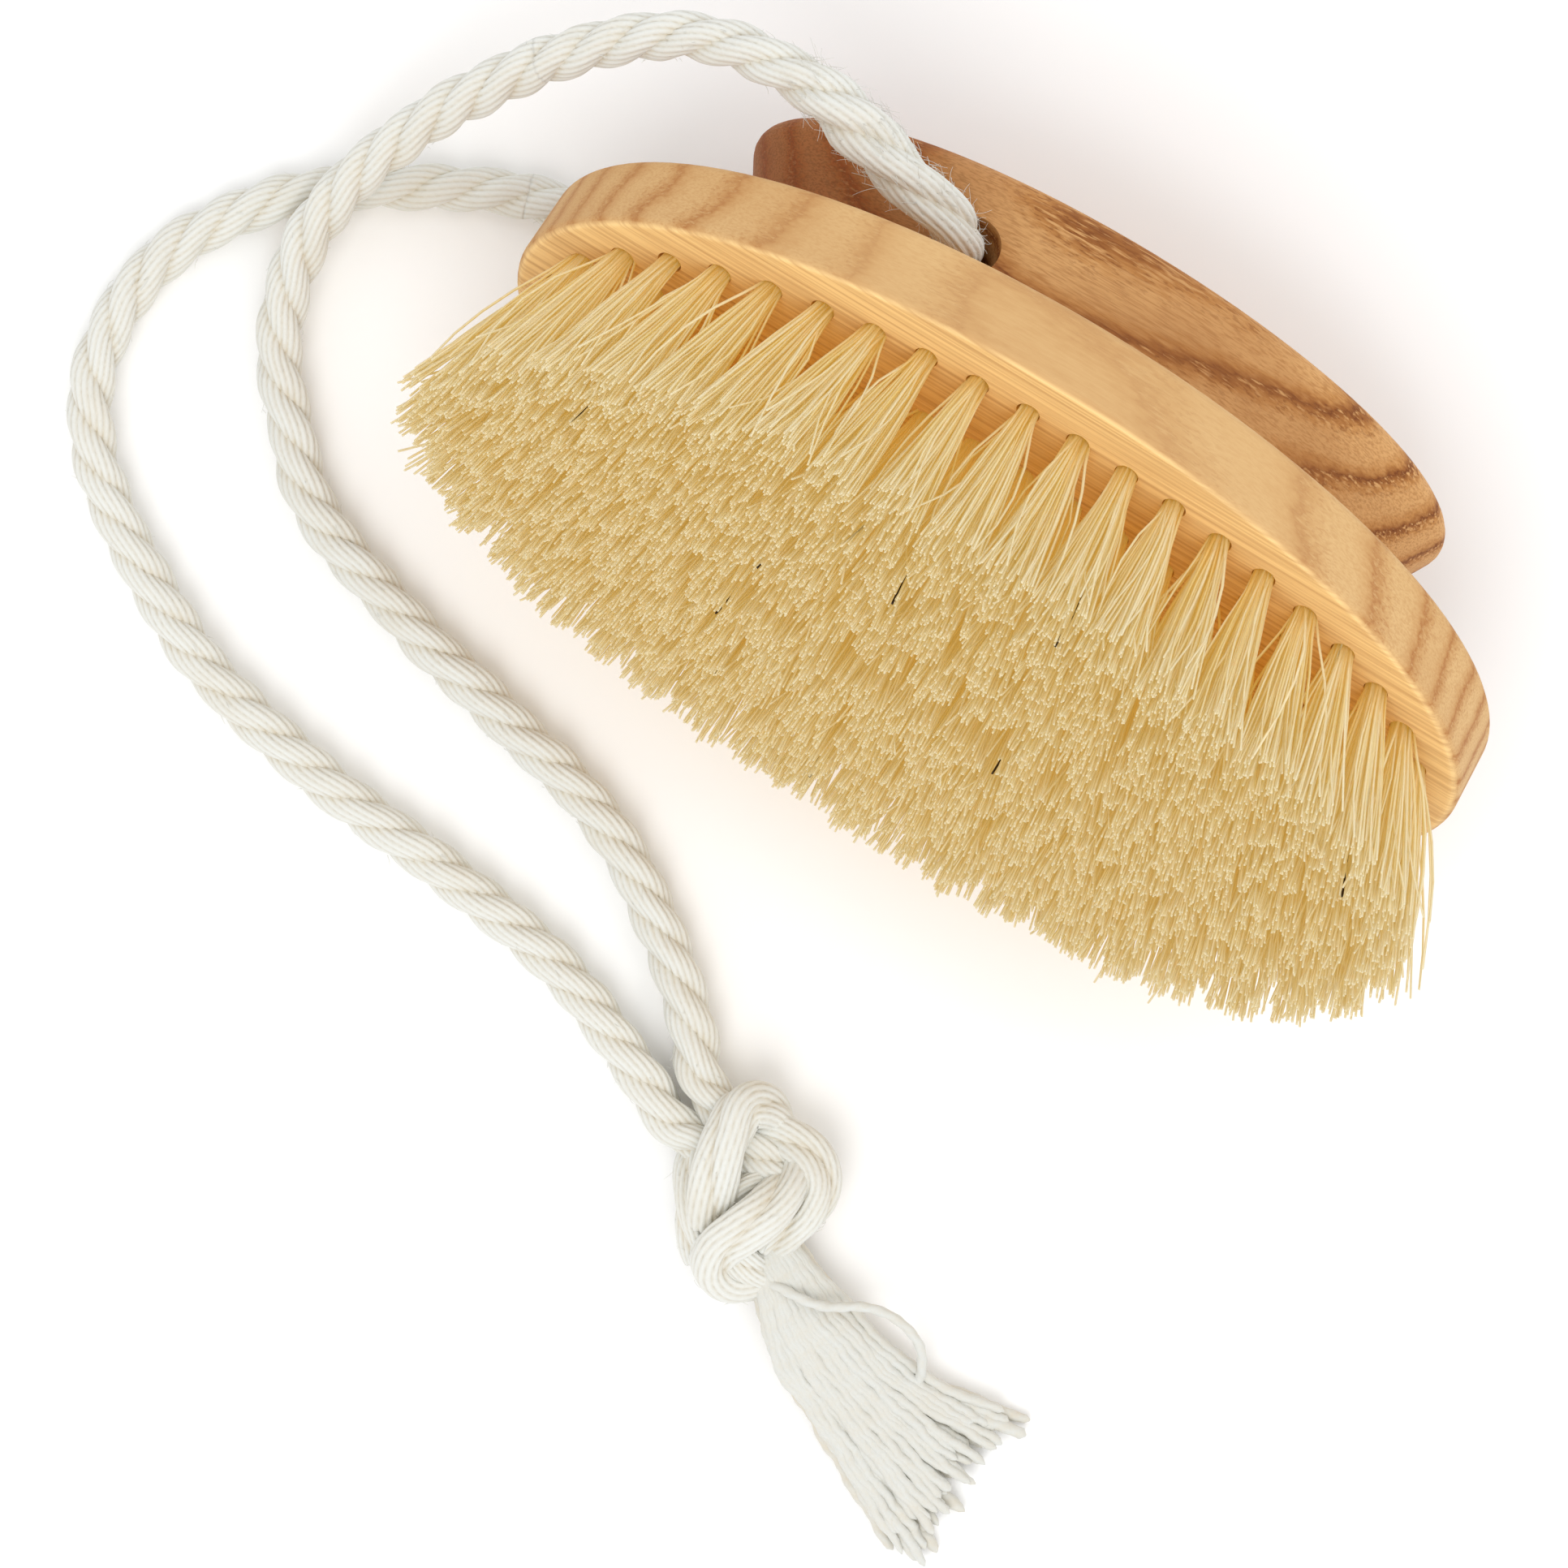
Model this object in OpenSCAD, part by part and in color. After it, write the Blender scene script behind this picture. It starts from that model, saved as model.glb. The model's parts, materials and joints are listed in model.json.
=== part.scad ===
// Oval body dry brush with an undercut grip and a knotted hanging rope.
// It lies on its side on a table: the block's back edge and the grip's top edge both touch z = 0,
// the bristles point towards -Y and up, and the rope loop lies flat on the table.
// The brush is drawn in its own axes and then laid over: x along the block, y across it,
// z = 0 on the block's back face, grip towards +z, bristles towards -z.

/* [Block] */
// Length of the oval block
block_l = 130; // [124:1:136]
// Width of the oval block
block_w = 69; // [67:0.5:71]
// Thickness of the block
block_t = 11; // [10:0.5:13]
// Rounding of the block's edges
block_edge = 1.2; // [0.6:0.2:1.6]

/* [Grip] */
// Length of the grip at its top
grip_l = 98; // [94:1:102]
// Width of the grip at its top
grip_w = 39; // [37:0.5:40]
// Height of the grip above the block's back
grip_h = 25; // [24:0.5:26]
// Undercut of the grip's wall at its two ends, in degrees
grip_undercut = 26; // [20:1:30]
// Rounding of the grip's top edge
grip_edge = 2.4; // [1:0.2:3]
// Radius of the rope hole through the grip
rope_hole_r = 4.1; // [3.8:0.1:4.4]
// Distance of the rope hole from the middle of the grip
rope_hole_x = 20; // [18:0.5:22]
// Height of the rope hole above the block's back
rope_hole_z = 13.5; // [13:0.25:14]
// Radius of the two hidden dowels
dowel_r = 3; // [2:0.5:4]
// Distance of each dowel from the middle
dowel_x = 9; // [8:0.5:10]

/* [Bristles] */
// Height of the bristle tips above the block's face
bristle_h = 25; // [20:1:28]
// Radius of a drilled tuft hole
tuft_hole_r = 1.5; // [1.3:0.1:1.7]
// Depth of a drilled tuft hole
tuft_hole_depth = 6.5; // [6:0.5:7]
// Radius of a tuft at its tips
tuft_tip_r = 2.6; // [2:0.1:2.7]
// Distance between the tufts of one ring
tuft_pitch = 6.7; // [6.5:0.1:7.2]
// Outward lean of the outermost tufts at the block's ends
splay_ends = 15.5; // [12:0.5:17]
// Outward lean of the outermost tufts at the block's sides
splay_sides = 8.5; // [7:0.5:10]

/* [Rope] */
// Radius of the rope
rope_r = 3; // [2.8:0.1:3]
// Radius of one loose yarn of the tassel
yarn_r = 1.05; // [0.9:0.05:1.2]
// Number of yarns modelled on each frayed rope end
yarn_count = 7; // [5:1:8]

/* [Hidden] */
$fn = 48;

// Leaning angle at which the block's edge and the grip's edge lie on one plane.
lean = atan((block_w / 2 - grip_w / 2) / grip_h);
rest_height = block_w / 2 * cos(lean);

// Rows of tufts: the outermost ring's half sizes, and how far each next ring lies inside it.
ring_x = block_l / 2 - 5.5;
ring_y = block_w / 2 - 7.1;
ring_step_x = 6.12;
ring_step_y = 5.7;

tuft_clearance = 0.05;   // between a tuft's bound root and its hole
anchor_room = 1.3;       // left free at the bottom of a hole for the anchor
anchor_w = 3.3;          // wider than the hole, so that it bites into the wood
anchor_t = 0.35;
anchor_h = 1.0;
dowel_in_block = 3.5;
dowel_in_grip = 14;
dowel_clearance = 0.03;

rope_sides = 10;
joint_gap = 0.15;        // between a ball end and the flat end that turns on it
mouth_gap = 0.3;         // between the rope in the grip and the strands outside it
grip_hole_length = 31;   // length of the stretch of rope that stays in the grip

// Control points of the rope, in the table's frame. Each strand runs from the grip to the knot.
fold_near = [-82, -40, rope_r];
fold_far = [-101.5, -55.5, rope_r];
near_upper = [
    [-30.5, 25.5, 42.5], [-46, 27.5, 41], [-62, 25, 35], [-76, 13, 25.5],
    [-87.5, -4, 15], [-91.5, -19, 7.5], [-88.5, -31.5, 3.6]
];
near_lower = [
    [-73, -48, rope_r], [-57, -53.5, rope_r], [-39, -58, rope_r], [-22, -62.5, rope_r],
    [-8, -71, rope_r], [2, -79, 4], [9, -84.5, 6.5], [14, -89, 8]
];
far_upper = [
    [-46, 1.2, rope_r], [-67, 1, rope_r], [-84, -6.5, rope_r], [-98, -17, rope_r],
    [-106.5, -31, rope_r], [-107, -45, rope_r]
];
far_lower = [
    [-92, -63, rope_r], [-76, -71.5, rope_r], [-57, -76, rope_r], [-38, -78, rope_r],
    [-20, -80.5, rope_r], [-6, -85, 4], [6.5, -90.5, 6], [12, -94, 7]
];

tassel_root = [26, -98, 4.5];
tassel_heading = -18;    // direction of the tassel on the table
tassel_spread = 15;      // half the angle over which its yarns fan out
tassel_l = 33;
tassel_root_r = 3.4;
stray_r = 0.5;           // a single yarn, thinner than the bundles of the tassel

function unit(v) = v / norm(v);

// A point of the brush's own axes, given in the table's frame.
function laid(p) = [
    p.x,
    -p.y * sin(lean) + p.z * cos(lean),
    rest_height - p.y * cos(lean) - p.z * sin(lean)
];

// Catmull-Rom curve through all points but the first and last, `steps` pieces per span.
function curve_point(a, b, c, d, t) =
    0.5 * (2 * b + (c - a) * t + (2 * a - 5 * b + 4 * c - d) * t * t + (3 * b - a - 3 * c + d) * t * t * t);
function curve(points, steps) = [
    for (i = [1 : len(points) - 3], j = [0 : steps - 1])
        curve_point(points[i - 1], points[i], points[i + 1], points[i + 2], j / steps),
    points[len(points) - 2]
];

function tangent(path, i) = unit(path[min(i + 1, len(path) - 1)] - path[max(i - 1, 0)]);
function ring_at(centre, along, r, sides) =
    let (side = unit(cross(along, [0.05, 0.1, 1])), up = cross(side, along))
    [for (k = [0 : sides - 1]) centre + r * (cos(360 * k / sides) * side + sin(360 * k / sides) * up)];

// A round cord along a path, with one radius for each of its points.
module cord(path, radii, sides = rope_sides) {
    count = len(path);
    points = [for (i = [0 : count - 1]) each ring_at(path[i], tangent(path, i), radii[i], sides)];
    walls = [
        for (i = [0 : count - 2], k = [0 : sides - 1])
            let (a = i * sides + k, b = i * sides + (k + 1) % sides)
            each [[a, b, a + sides], [b, b + sides, a + sides]]
    ];
    start_cap = [for (k = [sides - 1 : -1 : 0]) k];
    end_cap = [for (k = [0 : sides - 1]) (count - 1) * sides + k];
    polyhedron(points, concat([start_cap, end_cap], walls), convexity = 10);
}

// Turns children so that their +z points along v.
module along(v) {
    rotate([0, acos(unit(v).z), atan2(v.y, v.x)]) children();
}

// Lays the brush over on its side.
module lay_down() {
    translate([0, 0, rest_height]) rotate([-(90 + lean), 0, 0]) children();
}

// An oval solid, as two halves: the profile is drawn with the oval's half length as its radius.
module oval(l, w) {
    for (half = [0, 180])
        rotate([0, 0, half]) scale([1, w / l, 1]) rotate_extrude(angle = 180, $fn = 180) children();
}

// ---- tufts ----

function ring_half_x(ring) = ring_x - (ring - 1) * ring_step_x;
function ring_half_y(ring) = ring_y - (ring - 1) * ring_step_y;
function oval_point(ring, turn) = [ring_half_x(ring) * cos(turn), ring_half_y(ring) * sin(turn)];

// Running length round a ring against the turning angle, to place its tufts evenly.
length_step = 5;
function lengths(ring, turn = 0, sum = 0) =
    turn >= 360 ? [[sum, turn]] :
    concat(
        [[sum, turn]],
        lengths(ring, turn + length_step,
            sum + norm(oval_point(ring, turn + length_step) - oval_point(ring, turn)))
    );
function tuft_places(ring) =
    let (
        table = lengths(ring),
        total = table[len(table) - 1][0],
        count = 2 * round(total / tuft_pitch / 2),
        offset = ring % 2 == 0 ? 0.5 : 0
    )
    [for (k = [0 : count - 1]) oval_point(ring, lookup((k + offset) * total / count, table))];

// Direction in which the tuft at a place of the bristle face leans out.
function splay(place) = unit([
    place.x / ring_x * tan(splay_ends),
    place.y / ring_y * tan(splay_sides),
    -1
]);

module at_each_tuft(ring) {
    for (place = tuft_places(ring))
        translate([place.x, place.y, -block_t]) along(splay(place)) children();
}

module tuft() {
    root = tuft_hole_r - tuft_clearance;
    rotate_extrude($fn = 24) polygon([
        [0, anchor_room - tuft_hole_depth], [root, anchor_room - tuft_hole_depth], [root, 0.4],
        [tuft_tip_r, bristle_h], [0, bristle_h]
    ]);
}

module bristle_ring(ring) {
    color("#ebd7a0") lay_down() at_each_tuft(ring) tuft();
}

module tuft_anchors(ring) {
    color("#b9b4a4") lay_down() at_each_tuft(ring)
        translate([-anchor_w / 2, -anchor_t / 2, 0.15 - tuft_hole_depth])
            cube([anchor_w, anchor_t, anchor_h]);
}

// ---- wood ----

module brush_block() {
    half = block_l / 2;
    color("#dcae74") lay_down() difference() {
        oval(block_l, block_w) polygon([
            [0, 0], [half - block_edge, 0],
            for (turn = [75 : -15 : 15])
                [half - block_edge + block_edge * cos(turn), -block_edge + block_edge * sin(turn)],
            [half, -block_edge], [half, block_edge - block_t],
            for (turn = [-15 : -15 : -75])
                [half - block_edge + block_edge * cos(turn), block_edge - block_t + block_edge * sin(turn)],
            [half - block_edge, -block_t], [0, -block_t]
        ]);
        for (ring = [1 : 5])
            at_each_tuft(ring) translate([0, 0, -tuft_hole_depth])
                cylinder(r = tuft_hole_r, h = tuft_hole_depth + 1, $fn = 24);
        for (side = [-1, 1])
            translate([side * dowel_x, 0, -dowel_in_block]) cylinder(r = dowel_r, h = dowel_in_block + 1);
    }
}

module grip() {
    // The wall runs straight from the foot to the arc that rounds the top edge.
    centre = [grip_l / 2 - grip_edge, grip_h - grip_edge];
    wall_end = centre + grip_edge * [cos(grip_undercut), -sin(grip_undercut)];
    foot = wall_end.x - wall_end.y * tan(grip_undercut);
    color("#a9713c") lay_down() difference() {
        oval(grip_l, grip_w) polygon([
            [0, 0], [foot, 0],
            for (step = [0 : 7])
                let (turn = -grip_undercut + step * (90 + grip_undercut) / 7)
                centre + grip_edge * [cos(turn), sin(turn)],
            [0, grip_h]
        ]);
        translate([-rope_hole_x, 0, rope_hole_z]) rotate([90, 0, 0])
            cylinder(r = rope_hole_r, h = grip_w, center = true);
        for (side = [-1, 1])
            translate([side * dowel_x, 0, -1]) cylinder(r = dowel_r, h = dowel_in_grip + 1);
    }
}

module grip_dowels() {
    color("#e2c391") lay_down()
        for (side = [-1, 1])
            translate([side * dowel_x, 0, dowel_clearance - dowel_in_block])
                cylinder(r = dowel_r - dowel_clearance, h = dowel_in_block + dowel_in_grip - 2 * dowel_clearance);
}

// ---- rope ----

mouth = grip_hole_length / 2;
// The strand on the upper side leaves its mouth straight, then bends over towards the rope's loop.
near_path = concat(
    [laid([-rope_hole_x, -mouth + 5, rope_hole_z]), laid([-rope_hole_x, -mouth - mouth_gap, rope_hole_z]),
     laid([-rope_hole_x - 1.2, -mouth - 4.5, rope_hole_z + 0.3])],
    near_upper, [fold_near], near_lower
);
// The strand on the table side turns at once, in the tunnel between the grip, the block and the table.
far_path = concat(
    [laid([-rope_hole_x, mouth - 4, rope_hole_z]), laid([-rope_hole_x, mouth + mouth_gap, rope_hole_z]),
     laid([-rope_hole_x - 0.2, mouth + 3, rope_hole_z]), laid([-rope_hole_x - 2, mouth + 6.2, rope_hole_z - 0.3]),
     laid([-rope_hole_x - 5.5, mouth + 7.8, rope_hole_z - 0.6])],
    far_upper, [fold_far], far_lower
);
near_steps = 3;
far_steps = 3;
near_curve = curve(near_path, near_steps);
far_curve = curve(far_path, far_steps);
near_fold_index = (2 + len(near_upper)) * near_steps;
far_fold_index = (4 + len(far_upper)) * far_steps;

// The stretch of a curve up to its fold, ending in half a ball centred on the fold's axis.
module upper_strand(path, fold_index) {
    heading = tangent(path, fold_index);
    dome = [25, 50, 75];
    color("#efece2") cord(
        concat(
            [for (i = [0 : fold_index]) path[i]],
            [for (turn = dome) path[fold_index] + rope_r * sin(turn) * heading]
        ),
        concat([for (i = [0 : fold_index]) rope_r], [for (turn = dome) rope_r * cos(turn)])
    );
}

// The stretch after the fold, starting flat just clear of the ball.
module lower_strand(path, fold_index) {
    next = path[fold_index + 1];
    start = path[fold_index] + (rope_r + joint_gap) * unit(next - path[fold_index]);
    rest = concat([start], [for (i = [fold_index + 1 : len(path) - 1]) path[i]]);
    color("#efece2") cord(rest, [for (i = rest) rope_r]);
}

module rope_in_grip() {
    color("#efece2") lay_down()
        translate([-rope_hole_x, 0, rope_hole_z]) rotate([90, 0, 0])
            cylinder(r = rope_r, h = grip_hole_length, center = true);
}
module rope_upper_near() {
    upper_strand(near_curve, near_fold_index);
}
module rope_upper_far() {
    upper_strand(far_curve, far_fold_index);
}
module rope_lower_near() {
    lower_strand(near_curve, near_fold_index);
}
module rope_lower_far() {
    lower_strand(far_curve, far_fold_index);
}

module rope_knot() {
    lobe_r = 6.4;
    color("#efece2") difference() {
        hull() {
            for (lobe = [[11.5, -88.5], [23, -89.5], [19.5, -99.5], [13.5, -96]])
                translate([lobe.x, lobe.y, lobe_r]) sphere(r = lobe_r, $fn = 24);
        }
        translate(tassel_root) rotate([90, 0, tassel_heading])
            cylinder(r = tassel_root_r + 0.3, h = 30, center = true, $fn = 32);
        translate(tassel_root) rotate([0, 0, tassel_heading])
            translate([0, -15, -10]) cube([20, 30, 30]);
    }
}

// ---- tassel ----

module yarn(heading, height, reach) {
    rotate([0, 0, heading]) rotate([0, 90 - height, 0])
        cylinder(r1 = yarn_r * 1.15, r2 = yarn_r, h = reach, $fn = 16);
}

// One frayed rope end: a round root across the tassel, and its yarns in two layers.
module tassel_end(side) {
    root_l = 3.6;
    color("#f1eee6") translate(tassel_root) rotate([0, 0, tassel_heading]) {
        translate([0, side * (root_l / 2 + 0.1), 0]) rotate([90, 0, 0])
            cylinder(r = tassel_root_r, h = root_l, center = true, $fn = 32);
        for (k = [0 : yarn_count - 1]) {
            share = (k + 0.5) / yarn_count;
            translate([0, side * (yarn_r * 1.3 + share * 1.1), k % 2 == 0 ? 1.6 : -1.6])
                yarn(side * (1.5 + share * tassel_spread), k % 2 == 0 ? 1.5 : -1.5, tassel_l + 3 * cos(137 * k));
        }
    }
}
module tassel_end_near() {
    tassel_end(1);
}
module tassel_end_far() {
    tassel_end(-1);
}

// A single yarn that has come loose and loops out beside the tassel.
module tassel_stray_yarn() {
    loop = [
        [30, -104, 9], [31.8, -100.8, 9], [34.5, -98, 9], [38.5, -96.8, 9],
        [43, -97.8, 8.9], [46.2, -100.2, 8.8], [47.5, -103.5, 8.8], [48, -107, 8.8]
    ];
    path = curve(loop, 3);
    color("#f1eee6") cord(path, [for (i = path) stray_r], 8);
}

brush_block();
grip();
grip_dowels();
bristle_ring(1);  // bristle_ring_1
bristle_ring(2);  // bristle_ring_2
bristle_ring(3);  // bristle_ring_3
bristle_ring(4);  // bristle_ring_4
bristle_ring(5);  // bristle_ring_5
tuft_anchors(1);  // tuft_anchors_1
tuft_anchors(2);  // tuft_anchors_2
tuft_anchors(3);  // tuft_anchors_3
tuft_anchors(4);  // tuft_anchors_4
tuft_anchors(5);  // tuft_anchors_5
rope_in_grip();
rope_upper_near();
rope_upper_far();
rope_lower_near();
rope_lower_far();
rope_knot();
tassel_end_near();
tassel_end_far();
tassel_stray_yarn();
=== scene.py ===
"""Looks of the oval body dry brush: wood, natural bristles, and a twisted cotton rope with knot and tassel.

Lengths are millimetres in the row frame until a mesh is made, which is when they become metres.
The brush's own axes are x along the block, y across it and z from the bristle side to the grip.
"""
import json
import math

import bpy
import numpy as np
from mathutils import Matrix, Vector


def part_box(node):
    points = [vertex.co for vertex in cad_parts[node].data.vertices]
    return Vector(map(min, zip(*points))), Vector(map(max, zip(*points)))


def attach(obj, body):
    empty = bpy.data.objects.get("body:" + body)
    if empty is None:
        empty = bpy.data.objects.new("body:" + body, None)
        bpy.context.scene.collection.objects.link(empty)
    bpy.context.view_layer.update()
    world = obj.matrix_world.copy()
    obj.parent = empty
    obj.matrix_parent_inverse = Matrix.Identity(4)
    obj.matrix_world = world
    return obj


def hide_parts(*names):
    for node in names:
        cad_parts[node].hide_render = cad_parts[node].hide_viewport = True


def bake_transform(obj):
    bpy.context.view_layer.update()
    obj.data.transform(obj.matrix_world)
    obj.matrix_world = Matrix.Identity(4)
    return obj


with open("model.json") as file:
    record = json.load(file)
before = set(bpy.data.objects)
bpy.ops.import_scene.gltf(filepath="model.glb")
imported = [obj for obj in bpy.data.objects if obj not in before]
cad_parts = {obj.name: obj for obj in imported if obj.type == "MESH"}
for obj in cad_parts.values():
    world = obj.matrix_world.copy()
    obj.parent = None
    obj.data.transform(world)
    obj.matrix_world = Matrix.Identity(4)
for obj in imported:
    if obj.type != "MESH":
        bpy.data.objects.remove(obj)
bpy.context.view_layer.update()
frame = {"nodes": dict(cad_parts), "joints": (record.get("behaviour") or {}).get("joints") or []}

MM = 0.001
rng = np.random.default_rng(7)

# ---- the brush's place, from the frame ----

joints = {joint["name"]: joint for joint in frame["joints"]}
swing_axis = joints["rope_swing"]["axis"]
LEAN = math.atan2(-swing_axis[1], -swing_axis[2])
block_low, block_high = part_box("brush_block")
BLOCK_L = (block_high.x - block_low.x) / MM
BLOCK_W = BLOCK_L * 69 / 130        # the block is a 130 by 69 oval
BLOCK_T = 11
REST_HEIGHT = BLOCK_W / 2 * math.cos(LEAN)      # the middle of the block's back, above the table
TABLE_GAP = 0.02        # soft things flatten where they rest on the table, this far above it


def laid(p):
    """Points of the brush's own axes, in the row frame."""
    x, y, z = np.moveaxis(np.asarray(p, float), -1, 0)
    up = REST_HEIGHT - y * math.cos(LEAN) - z * math.sin(LEAN)
    return np.stack([x, -y * math.sin(LEAN) + z * math.cos(LEAN), up], -1)


def unit(v):
    """The same directions at length 1."""
    v = np.asarray(v, float)
    return v / np.maximum(np.linalg.norm(v, axis=-1, keepdims=True), 1e-12)


# ---- mesh building ----


class Builder:
    """Collects rings of points into one mesh, with a few numbers for each point."""

    def __init__(self):
        self.points = []
        self.quads = []
        self.caps = []
        self.values = {}
        self.count = 0

    def tubes(self, rings, **values):
        """rings is (tubes, rings, sides, 3). Each value is one number for each point, or for each ring."""
        tubes, steps, sides, _ = rings.shape
        index = self.count + np.arange(tubes * steps * sides).reshape(tubes, steps, sides)
        a, b = index[:, :-1], index[:, 1:]
        quads = np.stack([a, np.roll(a, -1, 2), np.roll(b, -1, 2), b], -1)
        self.points.append(rings.reshape(-1, 3))
        self.quads.append(quads.reshape(-1, 4))
        self.caps += index[:, 0, ::-1].tolist() + index[:, -1].tolist()
        for name, value in values.items():
            value = np.asarray(value, float)
            if value.ndim == 2:
                value = value[:, :, None]
            full = np.broadcast_to(value, (tubes, steps, sides))
            self.values.setdefault(name, []).append(full.reshape(-1))
        self.count += tubes * steps * sides

    def make(self, name, material):
        mesh = bpy.data.meshes.new(name)
        points = np.concatenate(self.points)
        points[:, 2] = np.maximum(points[:, 2], TABLE_GAP)
        points = points * MM
        faces = np.concatenate(self.quads).tolist() + self.caps
        mesh.from_pydata(points.tolist(), [], faces)
        for key, parts in self.values.items():
            layer = mesh.attributes.new(key, "FLOAT", "POINT")
            layer.data.foreach_set("value", np.concatenate(parts).astype(np.float32))
        mesh.shade_smooth()
        mesh.materials.append(material)
        obj = bpy.data.objects.new(name, mesh)
        bpy.context.scene.collection.objects.link(obj)
        return obj


CURVE_STEPS = 60        # points between two controls, before they are spaced evenly


def curve(controls, step):
    """Evenly spaced points on the Catmull-Rom curve through all controls but the first and last."""
    c = np.asarray(controls, float)
    t = np.linspace(0, 1, CURVE_STEPS, endpoint=False)[:, None]
    spans = [
        0.5 * (2 * q + (r - p) * t + (2 * p - 5 * q + 4 * r - s) * t ** 2 + (3 * q - p - 3 * r + s) * t ** 3)
        for p, q, r, s in zip(c, c[1:], c[2:], c[3:])
    ]
    dense = np.concatenate(spans + [c[-2:-1]])
    run = np.concatenate([[0], np.cumsum(np.linalg.norm(np.diff(dense, axis=0), axis=1))])
    stops = np.linspace(0, run[-1], max(2, int(round(run[-1] / step)) + 1))
    return np.stack([np.interp(stops, run, dense[:, k]) for k in range(3)], -1), stops


def carried_frames(path):
    """Two directions across each point of a path, carried along it without twist."""
    along = unit(np.gradient(path, axis=0))
    side = unit(np.cross(along[0], [0.05, 0.1, 1]))
    sides = []
    for direction in along:
        side = unit(side - direction * (side @ direction))
        sides.append(side)
    sides = np.array(sides)
    return sides, np.cross(along, sides)


def wander(run, size, length):
    """A smooth random value along a run, about +-size, that changes over the given length."""
    knots = max(4, int(run[-1] / length) + 3)
    return np.interp(run, np.linspace(0, run[-1], knots), rng.uniform(-size, size, knots))


# ---- rope ----

ROPE_R = 3.0
ROPE_LAY = 19.5         # the length of one turn of a strand
STRANDS = 3
STRAND_OFFSET = 0.39    # the strand's centre and radius, as shares of the rope's radius
STRAND_R = 0.63
STRAND_SIDES = 60
YARNS = 13              # yarns round each strand
YARN_TURN = 0.45        # the yarns' own turn for each turn of the strand
YARN_GROOVE = 0.15      # depth of the groove between two yarns, as a share of the strand's radius
NOTCH_REACH = 0.86      # nearer to the rope's middle than this share, a strand's surface is in shade
HAIR_R = (0.04, 0.02)   # radius of a loose hair at its root and its tip
HAIR_STEPS = 6


class Rope:
    """A three-strand rope along a path: strands is (3, rings, sides, 3)."""

    def __init__(self, controls, radius=1.0, lay=ROPE_LAY, step=0.45, phase=0.0):
        self.path, self.run = curve(controls, step)
        run = self.run
        self.radius = radius(run) if callable(radius) else np.full(len(run), float(radius))
        lay = lay(run) if callable(lay) else np.full(len(run), float(lay))
        turn = phase - np.concatenate([[0], np.cumsum(np.diff(run) / lay[1:])]) * 2 * math.pi
        self.side, self.up = carried_frames(self.path)
        around = np.linspace(0, 2 * math.pi, STRAND_SIDES, endpoint=False)
        strands, depth = [], []
        for k in range(STRANDS):
            angle = turn + k * 2 * math.pi / STRANDS
            thick = self.radius * ROPE_R * (1 + wander(run, 0.05, 9))
            out = self.side * np.cos(angle)[:, None] + self.up * np.sin(angle)[:, None]
            centre = self.path + out * (thick * STRAND_OFFSET)[:, None]
            # The yarns turn against the lay, so that they run nearly along the rope on its outside.
            own = around[None, :] + YARN_TURN * angle[:, None]
            yarn = np.abs(np.sin(own * YARNS / 2 + wander(run, 0.5, 5)[:, None] + k))
            uneven = 1 + 0.04 * np.sin(own * 3 + wander(run, 2, 7)[:, None])
            ridge = (1 - YARN_GROOVE * (1 - yarn) ** 1.7) * uneven
            spoke = self.side[:, None] * np.cos(around)[None, :, None]
            spoke = spoke + self.up[:, None] * np.sin(around)[None, :, None]
            ring = centre[:, None] + spoke * (ridge * (thick * STRAND_R)[:, None])[:, :, None]
            reach = np.linalg.norm(ring - self.path[:, None], axis=-1) / thick[:, None]
            notch = np.clip((NOTCH_REACH - reach) / 0.3, 0, 1)
            strands.append(ring)
            depth.append(np.clip(notch * 0.7 + 0.5 * (1 - yarn) ** 2.0, 0, 1))
        self.strands = np.array(strands)
        self.depth = np.array(depth)

    def add_to(self, builder, start=0.0, stop=None):
        """Adds the rope between two lengths along its run."""
        stop = self.run[-1] if stop is None else stop
        first = int(np.searchsorted(self.run, start))
        last = min(int(np.searchsorted(self.run, stop)), len(self.run) - 1)
        tone = np.repeat(rng.uniform(0, 1, STRANDS)[:, None], last + 1 - first, 1)
        builder.tubes(self.strands[:, first:last + 1], depth=self.depth[:, first:last + 1], tone=tone)

    def fuzz(self, builder, start, stop, per_mm, length, lift):
        """Fine loose hairs that start on the rope's surface and curl away from it."""
        count = int((stop - start) * per_mm)
        where = rng.uniform(start, stop, count)
        index = np.searchsorted(self.run, where).clip(2, len(self.run) - 3)
        angle = rng.uniform(0, 2 * math.pi, count)
        out = self.side[index] * np.cos(angle)[:, None] + self.up[index] * np.sin(angle)[:, None]
        along = unit(self.path[index + 1] - self.path[index - 1]) * rng.choice([-1, 1], count)[:, None]
        origin = self.path[index] + out * (self.radius[index] * ROPE_R * 0.9)[:, None]
        reach = length * rng.uniform(0.4, 1, count)[:, None, None]
        t = np.linspace(0, 1, HAIR_STEPS)[None, :, None]
        curl = rng.normal(0, 0.35, (count, 1, 3))
        rise = lift * rng.uniform(0.3, 1, count)[:, None, None]
        path = origin[:, None] + reach * (t * along[:, None] + rise * out[:, None] * t ** 0.7 + curl * t ** 2)
        shape = (count, HAIR_STEPS)
        builder.tubes(thin_tubes(path, *HAIR_R), depth=np.zeros(shape), tone=np.ones(shape))


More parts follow.
